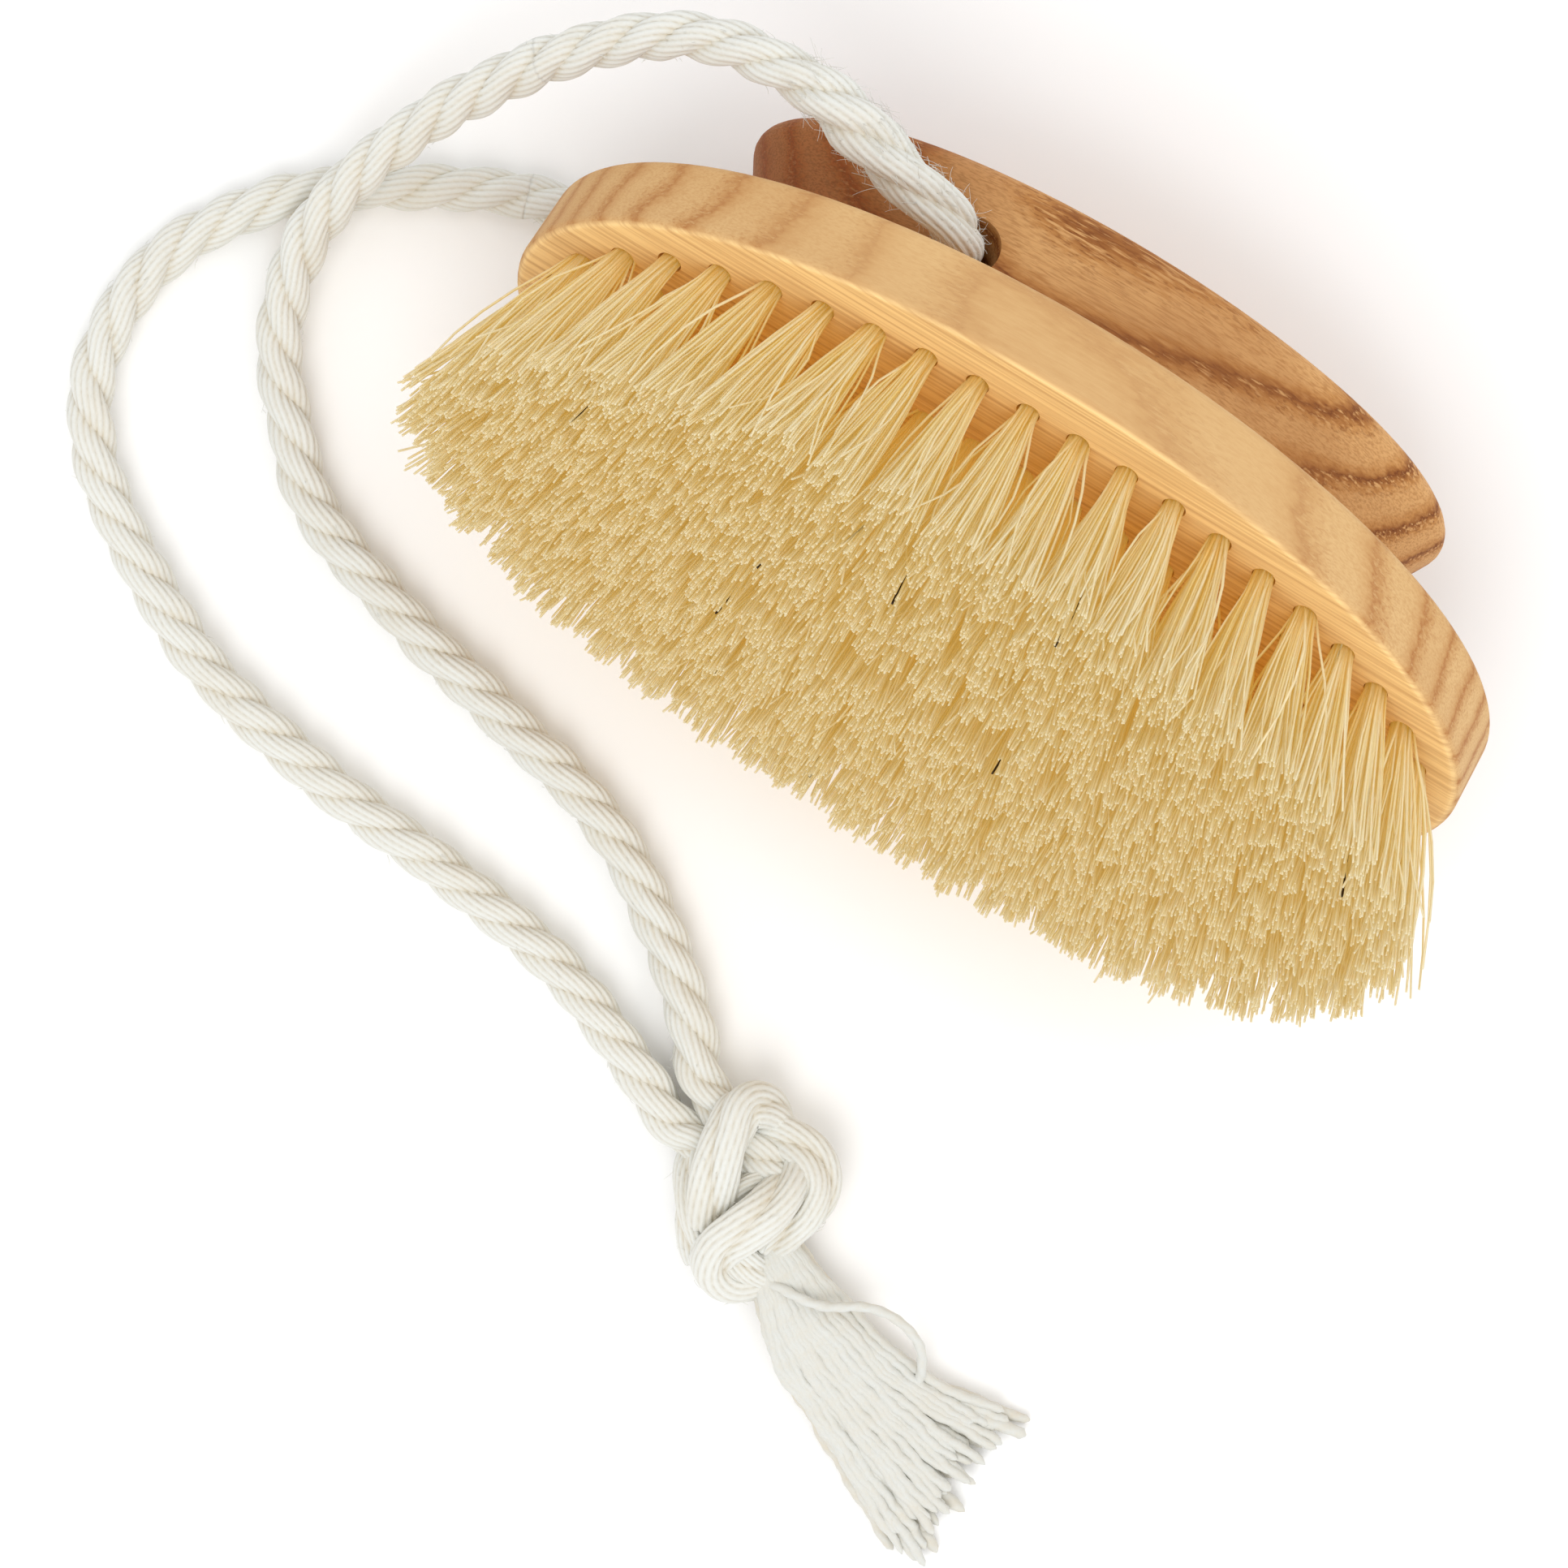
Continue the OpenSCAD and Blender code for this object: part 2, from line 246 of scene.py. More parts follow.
def thin_tubes(paths, root_r, tip_r, sides=3):
    """Tapered tubes round many short paths at once: (count, steps, 3) gives (count, steps, sides, 3)."""
    steps = paths.shape[1]
    along = unit(np.gradient(paths, axis=1))
    helper = unit(rng.normal(size=(len(paths), 1, 3)))
    side = unit(np.cross(along, helper))
    up = np.cross(along, side)
    angle = np.linspace(0, 2 * math.pi, sides, endpoint=False)[:, None]
    radius = np.linspace(1, 0, steps)[None, :, None, None]
    radius = tip_r + (root_r - tip_r) * radius
    spoke = side[:, :, None] * np.cos(angle) + up[:, :, None] * np.sin(angle)
    return paths[:, :, None] + radius * spoke


# ---- materials ----


class Graph:
    """A material's nodes, with one short method for each kind of node."""

    def __init__(self, name):
        self.material = bpy.data.materials.new(name)
        self.material.use_nodes = True
        self.tree = self.material.node_tree
        self.tree.nodes.clear()

    def node(self, kind, inputs=(), **settings):
        """Adds a node. Each input is a socket to link or a value to set."""
        made = self.tree.nodes.new(kind)
        for key, value in settings.items():
            setattr(made, key, value)
        for key, value in dict(inputs).items():
            if isinstance(value, bpy.types.NodeSocket):
                self.tree.links.new(value, made.inputs[key])
            else:
                made.inputs[key].default_value = value
        return made

    def math(self, operation, a, b=0.0):
        return self.node("ShaderNodeMath", {0: a, 1: b}, operation=operation).outputs[0]

    def attribute(self, name):
        return self.node("ShaderNodeAttribute", attribute_name=name).outputs["Fac"]

    def noise(self, vector, scale, detail=2.0, stretch=(1, 1, 1)):
        vector = self.node("ShaderNodeMapping", {"Vector": vector, "Scale": stretch}).outputs[0]
        inputs = {"Vector": vector, "Scale": scale, "Detail": detail}
        return self.node("ShaderNodeTexNoise", inputs).outputs[0]

    def ramp(self, value, stops):
        """A colour for a value, from (position, colour) stops in rising order."""
        made = self.node("ShaderNodeValToRGB", {0: value})
        ramp = made.color_ramp
        ramp.elements[0].position, ramp.elements[0].color = stops[0][0], (*stops[0][1], 1)
        ramp.elements[1].position, ramp.elements[1].color = stops[-1][0], (*stops[-1][1], 1)
        for position, colour in stops[1:-1]:
            ramp.elements.new(position).color = (*colour, 1)
        return made.outputs[0]

    def mask(self, value, low, high):
        """0 below low, 1 above high."""
        return self.node("ShaderNodeMapRange", {0: value, 1: low, 2: high}).outputs[0]

    def mix(self, factor, a, b):
        """Colour a where the factor is 0, colour b where it is 1."""
        made = self.node("ShaderNodeMix", data_type="RGBA")
        for key, value in ((0, factor), (6, a), (7, b)):
            if isinstance(value, bpy.types.NodeSocket):
                self.tree.links.new(value, made.inputs[key])
            else:
                made.inputs[key].default_value = value if key == 0 else (*value, 1)
        return made.outputs[2]

    def bump(self, height, strength, distance):
        inputs = {"Height": height, "Strength": strength, "Distance": distance}
        return self.node("ShaderNodeBump", inputs).outputs[0]

    def finish(self, **inputs):
        """Ends the tree with a principled surface."""
        names = {key.replace("_", " "): value for key, value in inputs.items()}
        surface = self.node("ShaderNodeBsdfPrincipled", names).outputs[0]
        self.node("ShaderNodeOutputMaterial", {"Surface": surface})
        return self.material

    def brush_axes(self):
        """The point in the brush's own axes, in millimetres."""
        place = self.node("ShaderNodeTexCoord").outputs["Object"]
        sized = {0: place, "Scale": 1 / MM}
        scaled = self.node("ShaderNodeVectorMath", sized, operation="SCALE").outputs[0]
        moved = (0, math.cos(LEAN) * REST_HEIGHT, math.sin(LEAN) * REST_HEIGHT)
        turned = {"Vector": scaled, "Rotation": (math.pi / 2 + LEAN, 0, 0), "Location": moved}
        return self.node("ShaderNodeMapping", turned).outputs[0]


def rgb(red, green, blue):
    """A linear colour from the 0 to 255 values that a screen shows, none of them under 11."""
    return tuple(((c / 255 + 0.055) / 1.055) ** 2.4 for c in (red, green, blue))


def wood(name, light, middle, dark, line, spacing, drift, roughness, pale_dashes,
         left_end_stain_and_shadow=None, fresh_face_and_bounce_light=None):
    """Ring-porous wood with its fibres along x and its growth rings stacked across y.

    light, middle and dark are the wood's colours, and line is the colour of a ring's edge. spacing is the
    width of a ring, and drift is how many rings it moves on for each millimetre of height. pale_dashes is
    how strongly pale flecks show. The colour for the left end darkens that end, partly as a stain in the
    wood and partly as painted shadow of the rope and the block. The colour for the front face is that of
    the planed face, paler partly as fresh wood and partly as painted light bounced from the bristles.
    """
    g = Graph(name)
    place = g.brush_axes()
    x, y, z = g.node("ShaderNodeSeparateXYZ", {0: place}).outputs
    bend = g.noise(place, 0.035, 2.0, (0.4, 1, 1))
    waver = g.noise(place, 0.3, 2.0, (0.12, 1, 1))
    ragged = g.noise(place, 1.6, 3.0, (0.22, 1, 1))
    across = g.math("ADD", g.math("MULTIPLY", y, 1 / spacing), g.math("MULTIPLY", z, drift))
    across = g.math("ADD", across, g.math("MULTIPLY", bend, 2.0))
    across = g.math("ADD", across, g.math("MULTIPLY", waver, 0.25))
    across = g.math("ADD", across, g.math("MULTIPLY", ragged, 0.3))
    ring = g.math("FRACT", across)
    colour = g.ramp(ring, [
        (0.0, line), (0.09, dark), (0.2, middle), (0.36, light),
        (0.66, light), (0.86, middle), (0.95, dark), (1.0, line),
    ])
    early = g.math("SUBTRACT", 1.0, g.mask(ring, 0.1, 0.5))
    speck = g.noise(place, 3.0, 2.0, (0.22, 1.0, 1.0))
    pore = g.math("MULTIPLY", g.mask(speck, 0.54, 0.62), g.math("ADD", 0.12, early))
    colour = g.mix(g.math("MULTIPLY", pore, 0.6), colour, line)
    fibre = g.noise(place, 4.5, 3.0, (0.05, 1.0, 1.0))
    colour = g.mix(g.math("MULTIPLY", g.mask(fibre, 0.44, 0.64), 0.45), colour, dark)
    pale = g.noise(place, 2.6, 3.0, (0.1, 1.0, 1.0))
    pale = g.math("MULTIPLY", g.mask(pale, 0.52, 0.66), g.math("ADD", 0.25, early))
    colour = g.mix(g.math("MULTIPLY", pale, pale_dashes), colour, light)
    broad = g.noise(place, 0.06, 3.0, (0.5, 1.0, 1.0))
    colour = g.mix(g.math("MULTIPLY", g.mask(broad, 0.4, 0.66), 0.4), colour, dark)
    # The left end is darkened, partly as a stain in the wood and partly as painted shadow of the rope and the
    # block.
    if left_end_stain_and_shadow:
        stain_and_shadow = g.mix(g.mask(fibre, 0.44, 0.6), left_end_stain_and_shadow, line)
        colour = g.mix(g.math("MULTIPLY", g.mask(x, -14.0, -38.0), 0.75), colour, stain_and_shadow)
    if fresh_face_and_bounce_light:
        # The side is plain in its middle and darker towards its left end.
        calm = g.mask(g.math("ABSOLUTE", x), 50.0, 24.0)
        colour = g.mix(g.math("MULTIPLY", calm, 0.55), colour, g.mix(0.35, light, middle))
        colour = g.mix(g.math("MULTIPLY", g.mask(x, -30.0, -60.0), 0.35), colour, dark)
        # The planed face shows the grain as straight fine stripes.
        stripe = g.noise(place, 1.9, 3.0, (0.012, 1.0, 0.1))
        # The face is paler than the side, partly as planed wood and partly as painted light bounced from the
        # bristles.
        face = g.mix(g.mask(stripe, 0.4, 0.66), fresh_face_and_bounce_light, g.mix(0.8, fresh_face_and_bounce_light, middle))
        on_face = g.mask(z, 0.5 - BLOCK_T, 0.1 - BLOCK_T)
        colour = g.mix(g.math("MULTIPLY", on_face, 0.85), colour, face)
    relief = g.math("ADD", g.math("MULTIPLY", pore, -1.0), g.math("MULTIPLY", fibre, 0.8))
    rough = g.math("ADD", roughness, g.math("MULTIPLY", fibre, 0.2))
    normal = g.bump(relief, 0.3, 0.00012)
    return g.finish(Base_Color=colour, Roughness=rough, Normal=normal, Specular_IOR_Level=0.22)


def bristle_material():
    """Plant fibre: honey-coloured at its root and paler towards its tip, and a little translucent."""
    g = Graph("bristle")
    along = g.attribute("along")
    tone = g.attribute("tone")
    colour = g.ramp(along, [
        (0.0, rgb(229, 200, 130)), (0.4, rgb(229, 216, 158)),
        (0.8, rgb(230, 221, 180)), (1.0, rgb(234, 228, 202)),
    ])
    pale = rgb(232, 228, 206)
    colour = g.mix(g.math("MULTIPLY", g.mask(tone, 0.15, 1.15), 0.85), colour, pale)
    place = g.node("ShaderNodeTexCoord").outputs["Object"]
    streak = g.noise(place, 900.0, 2.0)
    colour = g.mix(g.math("MULTIPLY", g.mask(streak, 0.5, 0.75), 0.2), colour, rgb(228, 190, 122))
    # A tone under zero marks one of the few dark fibres.
    colour = g.mix(g.mask(tone, -0.4, -0.6), colour, rgb(62, 40, 20))
    # A faint amber glow stands for light that has passed through many fibres. Dark fibres have none.
    amber = g.ramp(along, [
        (0.0, (0.30, 0.176, 0.032)), (0.6, (0.262, 0.162, 0.038)), (1.0, (0.228, 0.150, 0.042)),
    ])
    lit = g.mask(tone, -0.6, -0.4)
    glow = {"Base Color": colour, "Roughness": 0.45, "Emission Color": amber, "Emission Strength": lit}
    front = g.node("ShaderNodeBsdfPrincipled", glow).outputs[0]
    back = g.node("ShaderNodeBsdfTranslucent", {"Color": colour}).outputs[0]
    both = g.node("ShaderNodeMixShader", {0: 0.4, 1: front, 2: back}).outputs[0]
    g.node("ShaderNodeOutputMaterial", {"Surface": both})
    return g.material


def cotton_material(name, light, shade):
    """Matt cotton that turns to its shade colour in the grooves between yarns and strands."""
    g = Graph(name)
    depth = g.attribute("depth")
    tone = g.attribute("tone")
    place = g.node("ShaderNodeTexCoord").outputs["Object"]
    lint = g.noise(place, 2600.0, 3.0)
    patch = g.noise(place, 140.0, 2.0)
    base = g.mix(g.math("MULTIPLY", tone, 0.2), light, g.mix(0.4, light, shade))
    base = g.mix(g.math("MULTIPLY", g.mask(patch, 0.5, 0.75), 0.15), base, shade)
    colour = g.mix(g.math("MULTIPLY", depth, 0.8), base, shade)
    colour = g.mix(g.math("MULTIPLY", g.mask(lint, 0.5, 0.8), 0.15), colour, shade)
    normal = g.bump(lint, 0.35, 0.00015)
    return g.finish(Base_Color=colour, Roughness=0.9, Sheen_Weight=0.25, Normal=normal)


def metal_material():
    g = Graph("anchor_wire")
    place = g.node("ShaderNodeTexCoord").outputs["Object"]
    rub = g.noise(place, 1500.0, 3.0, (1, 1, 6))
    colour = g.mix(rub, (0.45, 0.44, 0.40), (0.62, 0.61, 0.56))
    rough = g.math("ADD", 0.3, g.math("MULTIPLY", rub, 0.2))
    return g.finish(Base_Color=colour, Metallic=1.0, Roughness=rough)


# Its front face is paler, partly as planed wood and partly as painted light bounced from the bristles.
block_wood = wood(
    "block_wood", light=rgb(216, 178, 124), middle=rgb(204, 160, 106), dark=rgb(188, 138, 84),
    line=rgb(168, 108, 56), spacing=3.8, drift=0.02, roughness=0.5, pale_dashes=0.4,
    fresh_face_and_bounce_light=rgb(250, 214, 150))
# Its left end is darker, partly as a stain and partly as painted shadow of the rope and the block.
grip_wood = wood(
    "grip_wood", light=rgb(214, 164, 106), middle=rgb(192, 136, 76), dark=rgb(158, 100, 48),
    line=rgb(120, 64, 24), spacing=4.4, drift=-0.03, roughness=0.5, pale_dashes=0.8,
    left_end_stain_and_shadow=rgb(146, 72, 22))
dowel_wood = wood(
    "dowel_wood", light=rgb(232, 204, 160), middle=rgb(222, 190, 142), dark=rgb(206, 168, 118),
    line=rgb(190, 150, 100), spacing=3.0, drift=0.0, roughness=0.6, pale_dashes=0.4)
bristle = bristle_material()
cotton = cotton_material("cotton_rope", rgb(222, 223, 218), rgb(200, 184, 152))
yarn_cotton = cotton_material("cotton_yarn", rgb(212, 213, 208), rgb(206, 190, 160))
metal = metal_material()

RINGS = 5
cad_materials = {"brush_block": block_wood, "grip": grip_wood, "grip_dowels": dowel_wood}
cad_materials.update({f"tuft_anchors_{ring}": metal for ring in range(1, RINGS + 1)})
for node, material in cad_materials.items():
    for slot in frame["nodes"][node].material_slots:
        slot.material = material

# ---- bristles ----

RING_X = 65 - 5.5               # half sizes of the outer ring of tufts
RING_Y = BLOCK_W / 2 - 7.1
RING_STEP = (6.12, 5.7)         # how much smaller each next ring is
TUFT_PITCH = 6.7
BRISTLE_H = 25                  # trimmed length outside the block
HOLE_R = 1.5
ROOT_DEPTH = 1.6                # how far the drawn fibres reach into their hole
SPLAY_X = 15.5                  # lean of the outermost tufts, in degrees
SPLAY_Y = 8.5
FIBRES = 90                     # for each tuft
FIBRE_STEPS = 7
FIBRE_R = 0.2
CLUMPS = 16                     # small groups of fibre ends in each tuft
CLUMPING = 0.36                 # how far the ends are drawn to the middle of their group
CLUMP_SPREAD = 2.2              # spreads the groups' middles over the whole tuft


def tuft_places(ring):
    """Evenly spaced places round a ring of tufts, in the brush's own axes, on the block's face."""
    half_x = RING_X - (ring - 1) * RING_STEP[0]
    half_y = RING_Y - (ring - 1) * RING_STEP[1]
    turn = np.radians(np.arange(0, 361, 5))
    oval = np.stack([half_x * np.cos(turn), half_y * np.sin(turn)], -1)
    run = np.concatenate([[0], np.cumsum(np.linalg.norm(np.diff(oval, axis=0), axis=1))])
    count = 2 * round(run[-1] / TUFT_PITCH / 2)
    shift = 0.5 if ring % 2 == 0 else 0
    at = np.interp((np.arange(count) + shift) * run[-1] / count, run, turn)
    return np.stack([half_x * np.cos(at), half_y * np.sin(at), np.full(count, -BLOCK_T)], -1)


def fibre_stops():
    """Shares of a fibre's length at its rings: the last two are close, so that its cut end looks sharp."""
    return np.append(np.linspace(0, 0.992, FIBRE_STEPS - 1), 1)


def tuft_fibres(place, ring):
    """The fibres of one tuft: their paths in the brush's own axes, and a tone for each."""
    # The tufts splay outwards, but less at the upper left end.
    calm = 1 - 0.6 * np.clip(-(place[0] + 30) / 30, 0, 1) * np.clip((8 - place[1]) / 16, 0, 1)
    lean_x = calm * place[0] / RING_X * math.tan(math.radians(SPLAY_X))
    axis = unit([lean_x, place[1] / RING_Y * math.tan(math.radians(SPLAY_Y)), -1])
    side = unit(np.cross(axis, [0, 1, 0.2]))
    up = np.cross(axis, side)
    count = FIBRES
    # Each fibre has a place in the tuft's round section. A few stray ones reach out of it.
    angle = rng.uniform(0, 2 * math.pi, count)
    share = np.sqrt(rng.uniform(0, 1, count))
    disc = share[:, None] * np.stack([np.cos(angle), np.sin(angle)], -1)
    stray = rng.random(count) < (0.13 if ring == 1 else 0.07)
    outer = np.where(stray, rng.uniform(1.1, 1.7, count), 1.0)[:, None]
    # The free ends stick together in small clumps, each cut at its own height.
    clump = rng.integers(0, CLUMPS, count)
    members = [disc[clump == k] for k in range(CLUMPS)]
    middle = CLUMP_SPREAD * np.stack([m.mean(0) if len(m) else np.zeros(2) for m in members])
    near = np.argmin(np.linalg.norm(disc[:, None] - middle, axis=-1), axis=1)
    drawn = disc + CLUMPING * (middle[near] - disc) * (1 - stray)[:, None]
    tip = (drawn * outer + rng.normal(0, 0.05, (count, 2))) * rng.uniform(3.6, 4.4) + rng.normal(0, 0.35, 2)
    root = disc * (HOLE_R - 0.36)
    t = fibre_stops()
    start = -ROOT_DEPTH
    # The trim runs a little longer towards the lower right of the field.
    slant = np.clip((place[0] - 5) / 45, 0, 1) * np.clip((place[1] + 8) / 28, 0, 1)
    height = BRISTLE_H + 2.8 * slant + rng.normal(0, 0.35, count)
    height = height + rng.normal(0, 0.35, CLUMPS)[near] - share ** 2 * 0.6
    height = np.where(rng.random(count) < 0.06, height - rng.uniform(1, 5, count), height)
    reach = start + (height[:, None] - start) * t
    open_up = np.clip(reach / BRISTLE_H, 0, 1.2) ** 1.05
    bow = rng.normal(0, 0.4, (count, 2)) * np.where(stray, 3.2, 1.0)[:, None]
    arch = (open_up * (1 - open_up))[:, :, None] * 4 * bow[:, None]
    spread = root[:, None] + (tip - root)[:, None] * open_up[:, :, None] + arch
    a, b = np.moveaxis(spread, -1, 0)
    paths = place + reach[:, :, None] * axis + a[:, :, None] * side + b[:, :, None] * up
    tone = rng.normal(0.45, 0.25, count) + (0.35 if ring == 1 else 0.0)
    dark = rng.random(count) < (0.0 if ring == 1 else 0.0005)
    tone = np.where(dark, -1.0, np.clip(tone + 0.4 * stray, 0, 1.3))
    return paths, tone


def bristle_ring(ring):
    """All tufts of one ring as one piece."""
    b = Builder()
    along = fibre_stops()
    for place in tuft_places(ring):
        paths, tone = tuft_fibres(place, ring)
        b.tubes(
            thin_tubes(laid(paths), FIBRE_R, FIBRE_R * 0.8),
            along=np.tile(along, (len(paths), 1)),
            tone=np.tile(tone[:, None], (1, FIBRE_STEPS)))
    obj = b.make(f"bristles_{ring}", bristle)
    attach(obj, "brush")
    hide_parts(f"bristle_ring_{ring}")


for ring in range(1, RINGS + 1):
    bristle_ring(ring)

# ---- rope: two strands from the grip to the knot ----

HOLE = (-20, 13.5)              # the rope hole in the grip: x and height above the block's back
FOLD_NEAR = (-82, -40, 3)       # where each strand crosses the fold
FOLD_FAR = (-101.5, -55.5, 3)
NEAR_SPLIT = 70                 # length along each strand at which its two pieces meet
FAR_SPLIT = 60
KNOT = np.array([19, -92, 0])


def at_hole(x, y, z):
    """A point given from the middle of the rope hole, in the brush's own axes."""
    return tuple(laid((HOLE[0] + x, y, HOLE[1] + z)))


# The knot is laid out in the camera's directions across and up the picture.
CAMERA_TURN = math.radians(31.26)
ACROSS = np.array([math.cos(CAMERA_TURN), math.sin(CAMERA_TURN), 0])
ALONG = np.array([-math.sin(CAMERA_TURN), math.cos(CAMERA_TURN), 0])


def knot_path(*points):
    """Points given as across, along and height in the knot's own axes."""
    return [tuple(KNOT + a * ACROSS + b * ALONG + np.array([0, 0, h])) for a, b, h in points]


near_controls = [
    # out of the hole and up over the block's end
    at_hole(0, -8, 0), at_hole(-0.4, -12, 0), at_hole(-0.9, -16, 0), at_hole(-3.5, -20.6, -1.4),
    (-31, 22.6, 42.5), (-45.7, 26, 41), (-61.5, 24.1, 35), (-76, 13, 25.5), (-87.5, -4, 15),
    (-91.5, -19, 7.5), (-88.5, -31.5, 3.6),
    # along the table to the knot
    FOLD_NEAR, (-73, -48, 3), (-57, -53.5, 3), (-39, -58, 3), (-22, -62.5, 3), (-8, -71, 3),
    (0.5, -78.5, 3.4),
    *knot_path(
        (-7.6, 14.6, 3.8), (-5, 10.6, 4.4), (-2.6, 7.2, 4.8), (0.2, 4.4, 5.2), (3, 2, 5),
        (5.6, -0.6, 4), (8, -3, 3)),
]
far_controls = [
    # out of the hole, under the block's end
    at_hole(0, 8, 0), at_hole(0, 12, 0), at_hole(0, 15.8, 0), at_hole(-0.2, 18.5, 0),
    at_hole(-2, 21.7, -0.3), at_hole(-5.5, 23.3, -0.6), (-46, 1.2, 3), (-67, 1, 3), (-84, -6.5, 3),
    (-98, -17, 3), (-106.5, -31, 3), (-107, -45, 3),
    # along the table to the knot
    FOLD_FAR, (-92, -63, 3), (-76, -71.5, 3), (-57, -76, 3), (-38, -78, 3), (-20, -80.5, 3),
    (-6, -85.3, 3.2),
    *knot_path((-11.6, 9.2, 3.6), (-8, 6.6, 4.2), (-4.4, 4, 3.8), (-1, 1.6, 3.2), (2, -1, 3)),
]


def loosened(run):
    """The rope's size along its run: opened and soft just outside the grip."""
    return 1.0 + 0.22 * np.exp(-((run - 23.5) / 9.5) ** 2)


def loose_lay(run):
    """The length of one turn along the run: longer where the rope has opened."""
    return ROPE_LAY * (1 + 0.9 * np.exp(-((run - 8) / 16.0) ** 2))


def strand_pieces(side, controls, split, phase):
    """One strand as two pieces: one rides on the upper loop, the other stays where it is laid."""
    rope = Rope(controls, radius=loosened, lay=loose_lay, phase=phase)
    upper = Builder()
    rope.add_to(upper, 0, split)
    rope.fuzz(upper, 3, 34, per_mm=16, length=1.9, lift=0.8)
    rope.fuzz(upper, 30, split, per_mm=1.4, length=1.2, lift=0.5)
    top = upper.make(f"cord_upper_{side}", cotton)
    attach(top, "upper_loop")
    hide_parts(f"rope_upper_{side}")
    lower = Builder()
    rope.add_to(lower, split)
    rope.fuzz(lower, split, rope.run[-1] - 4, per_mm=1.0, length=1.2, lift=0.5)
    bent = lower.make(f"cord_lower_{side}", cotton)
    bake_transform(bent)
    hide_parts(f"rope_lower_{side}")


strand_pieces("near", near_controls, NEAR_SPLIT, phase=0.4)
strand_pieces("far", far_controls, FAR_SPLIT, phase=1.7)

inside = Builder()
Rope([at_hole(0, y, 0) for y in (-16, -12.4, 0, 12.4, 16)], phase=0.4).add_to(inside)
held = inside.make("cord_in_the_hole", cotton)
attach(held, "brush")
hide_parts("rope_in_grip")

# ---- knot ----


def knot_passes():
    """The visible passes of the knot, from the lowest to the highest: controls, size and lay."""
    left_side = knot_path(
        (-5.4, 8.6, 2.6), (-7.4, 6, 3.2), (-8.5, 2.6, 4.4), (-8.6, -1.2, 4.8), (-8.2, -4.6, 4.2),
        (-7.2, -8, 3.4), (-5, -11, 3))
    under_left = knot_path(
        (-8, -3, 3), (-6.2, -1.8, 4), (-3.6, -0.2, 5.6), (-0.8, 1.2, 6), (2.5, 1.4, 5), (5, 1, 4))
    right_lobe = knot_path(
        (-5, 6.6, 2.4), (-1.6, 7.8, 3), (2.6, 7.2, 4.8), (6.2, 4.6, 6.2), (7.2, 1.2, 6.8),
        (5.8, -2, 7), (3.2, -4.2, 6.2), (0.6, -6.2, 4.6), (-2, -8.6, 3.2))
    top_lobe = knot_path(
        (3.4, 1.6, 2), (2.6, 5.8, 2.6), (0.9, 10, 4.8), (-2.2, 11, 8.2), (-4, 7.6, 9.2),
        (-5.3, 4, 8.8), (-6.2, 0.4, 7.4), (-6.6, -2.6, 5), (-6, -5, 3))
    low_lobe = knot_path(
        (2, -8.4, 2.4), (-1.0, -10.6, 2.8), (-4.4, -10.8, 4.2), (-6.1, -8.7, 6.2), (-5, -6, 8),
        (-2.2, -4.1, 9), (0.8, -2.2, 9), (3.2, 0.2, 7.8), (4.4, 2.4, 5.6), (4.6, 4.6, 4))
    filler = knot_path(
        (1.5, -11.5, 2.4), (-0.2, -10, 4.2), (-1.9, -8.8, 6), (-3.4, -7, 6.6), (-4, -4.4, 5))
    return [
        (filler, 0.8, 26), (left_side, 0.86, 30), (under_left, 0.72, 20), (right_lobe, 1.0, 34),
        (top_lobe, 1.08, 46), (low_lobe, 1.1, 40),
    ]


knot = Builder()
for number, (controls, size, lay) in enumerate(knot_passes()):
    turn = Rope(controls, radius=size, lay=lay, step=0.35, phase=number * 0.9)
    turn.add_to(knot)
    turn.fuzz(knot, 1, turn.run[-1] - 1, per_mm=1.2, length=1.2, lift=0.5)
tied = knot.make("cord_knot_turns", cotton)
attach(tied, "lower_loop")
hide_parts("rope_knot")

# ---- tassel ----

YARN_R = 0.78
YARN_SIDES = 12
LAYER_COUNTS = {-1: 11, 0: 13, 1: 13}       # yarns of each half, from the lowest layer to the highest


def yarn_tube(builder, path, run, radius, tone, shade):
    """One soft yarn of two plies, as thick at each point as radius says."""
    side, up = carried_frames(path)
    around = np.linspace(0, 2 * math.pi, YARN_SIDES, endpoint=False)[None, :]
    twist = run[:, None] * 1.3
    ply = 1 + 0.1 * np.cos(2 * (around + twist)) + 0.03 * np.sin(7 * around - twist)
    spoke = side[:, None] * np.cos(around)[:, :, None] + up[:, None] * np.sin(around)[:, :, None]
    ring = path[:, None] + spoke * (ply * radius[:, None])[:, :, None]
    depth = np.clip(shade[:, None] + 0.35 * (1 - ply) / 0.1 * 0.5, 0, 1)
    builder.tubes(ring[None], depth=depth[None], tone=np.full((1, len(path), YARN_SIDES), tone))


# The tassel's two edges on the table, from the knot to the cut ends: narrow at first, with a late flare.
NEAR_EDGE = [
    (12, -90, 0), (21.5, -93, 0), (27.6, -95.6, 0), (36.4, -98.8, 0), (47.6, -101.4, 0),
    (59, -100.2, 0), (69, -98, 0),
]
FAR_EDGE = [
    (14, -94, 0), (19.5, -99, 0), (24.4, -102.4, 0), (31.9, -109.2, 0), (41.6, -114, 0),
    (56.4, -121.4, 0), (66, -126, 0),
]


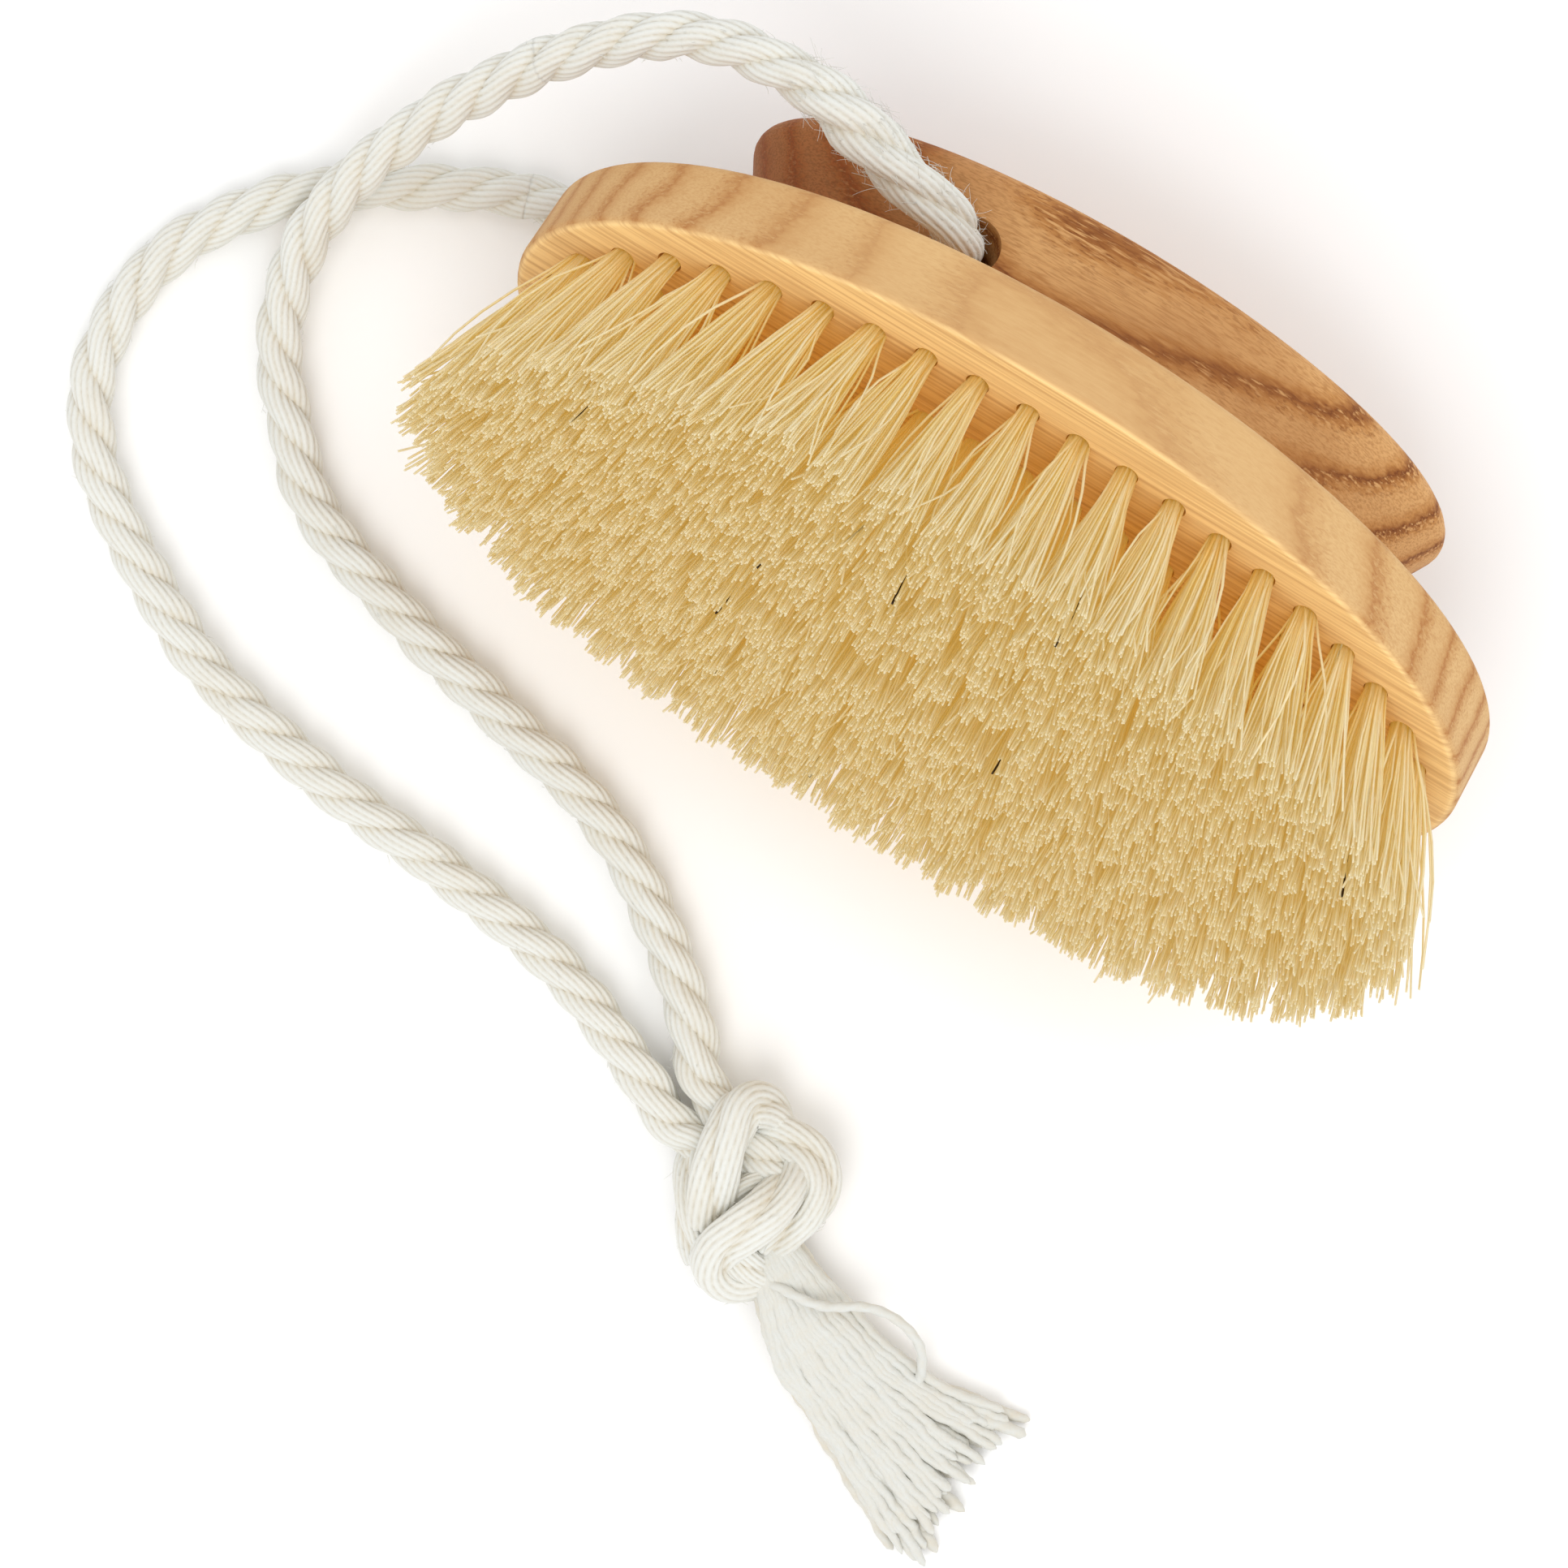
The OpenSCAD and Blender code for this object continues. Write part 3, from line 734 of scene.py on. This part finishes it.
def tassel_yarn(builder, place, layer):
    """A yarn that leaves the knot at a place between the tassel's edges (0 near, 1 far)."""
    drift = np.array([0, 0, 0, 1, 1.5, 2, 2]) * rng.normal(0, 0.014)
    share = np.clip(place + drift, 0.0, 1.0)[:, None]
    controls = np.array(NEAR_EDGE) * (1 - share) + np.array(FAR_EDGE) * share
    root = 4.0 + 1.5 * layer
    end = 1.9 + 0.9 * layer + rng.uniform(-0.2, 0.3)
    bulge = 1 - 0.25 * abs(2 * place - 1) ** 3
    heights = [root, root, root + 0.5, 0.5 * (root + end) + 0.7, end + 0.5, end, end]
    controls[:, 2] = np.array(heights) * bulge
    controls[:, :2] += rng.normal(0, 0.3, (7, 2)) * np.array([0, 0, 0.5, 1, 1, 1, 1])[:, None]
    controls[-2:] += unit(controls[-2] - controls[-3]) * rng.normal(1.2, 2.0)
    path, run = curve(controls, 0.6)
    aside = unit(np.cross(np.gradient(path, axis=0), [0, 0, 1]))
    wave = np.sin(run * rng.uniform(0.5, 0.9) + rng.uniform(0, 6))
    path = path + aside * (wave * 0.18 * np.clip(run / 12, 0, 1))[:, None]
    left = run[-1] - run
    blunt = rng.uniform(0.3, 0.9)
    tip = np.clip(left / rng.uniform(1.2, 5.5), 0, 1) ** 0.7
    full = 0.72 + 0.28 * np.clip(run / 16, 0, 1)
    thick = YARN_R * (0.86 if layer == 1 else 1.05) * full * (1 + wander(run, 0.07, 3))
    radius = thick * (blunt * (1 - tip) + tip) * np.clip(left / 0.5 + 0.25, 0, 1)
    shade = 0.36 * (1 - layer) * (0.35 + 0.65 * left / run[-1])
    yarn_tube(builder, path, run, radius, rng.uniform(0, 1), shade)


def tassel_half(side, first, last):
    """The yarns of one rope end, between two places across the tassel."""
    b = Builder()
    for layer, count in LAYER_COUNTS.items():
        for place in np.linspace(first, last, count, endpoint=False) + 0.25 / count:
            tassel_yarn(b, place + rng.uniform(-0.02, 0.02), layer)
    return b.make(f"tassel_{side}", yarn_cotton)


def swings(obj, node):
    """Bakes the piece's place into its mesh and hides the frame's part that it stands for."""
    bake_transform(obj)
    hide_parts(node)


swings(tassel_half("near", 0, 0.5), "tassel_end_near")
swings(tassel_half("far", 0.5, 1), "tassel_end_far")

stray = Builder()
stray_path, stray_run = curve([
    (16, -101.6, 0), (22, -101.2, 3.2), (27, -100.8, 6.4), (32.6, -100, 7.4), (37.6, -97.2, 7.2),
    (41.8, -96.6, 6.8), (45.6, -97.8, 5.8), (47.6, -100.2, 4.2), (48.6, -102.8, 2), (49.4, -105.4, -0.4),
], 0.5)
stray_r = np.full(len(stray_run), 0.62)
yarn_tube(stray, stray_path, stray_run, stray_r, tone=0.1, shade=np.zeros(len(stray_run)))
swings(stray.make("tassel_loose_yarn", yarn_cotton), "tassel_stray_yarn")

# ---- floor, light and camera ----

FLOOR_HALF = 1.5        # metres
FLOOR_DROP = 0.0004     # a hair under the table plane, so that nothing lies in the same plane


def floor():
    """A plain pale sheet."""
    half = FLOOR_HALF
    mesh = bpy.data.meshes.new("floor")
    corners = [(-half, -half, 0), (half, -half, 0), (half, half, 0), (-half, half, 0)]
    mesh.from_pydata(corners, [], [(0, 1, 2, 3)])
    obj = bpy.data.objects.new("floor", mesh)
    obj.location.z = -FLOOR_DROP
    bpy.context.scene.collection.objects.link(obj)
    g = Graph("floor_white")
    mesh.materials.append(g.finish(Base_Color=(0.96, 0.96, 0.96, 1), Roughness=0.9))


def area_light(name, place, size, power):
    """A round soft light that points at the frame's origin."""
    data = bpy.data.lights.new(name, "AREA")
    data.shape = "DISK"
    data.size = size
    data.energy = power
    obj = bpy.data.objects.new(name, data)
    obj.location = place
    obj.rotation_euler = (-Vector(place)).to_track_quat("-Z", "Y").to_euler()
    bpy.context.scene.collection.objects.link(obj)


floor()
scene = bpy.context.scene
world = bpy.data.worlds.new("studio")
world.use_nodes = True
background = world.node_tree.nodes["Background"]
background.inputs["Color"].default_value = (1, 1, 1, 1)
background.inputs["Strength"].default_value = 0.9
scene.world = world
area_light("key", place=(0.1, -0.62, 1.05), size=0.8, power=5.0)
area_light("fill", place=(0.35, 0.6, 0.9), size=0.8, power=2.0)

camera_data = bpy.data.cameras.new("camera")
camera_data.sensor_width = 36
camera_data.lens = 123.5
camera = bpy.data.objects.new("camera", camera_data)
camera.location = (-0.0052, -0.0466, 0.68)
camera.rotation_euler = (0, 0, CAMERA_TURN)
scene.collection.objects.link(camera)
bpy.context.scene.camera = camera
scene.view_settings.view_transform = "Standard"
scene.cycles.diffuse_bounces = 8        # light passes deep into the bristles
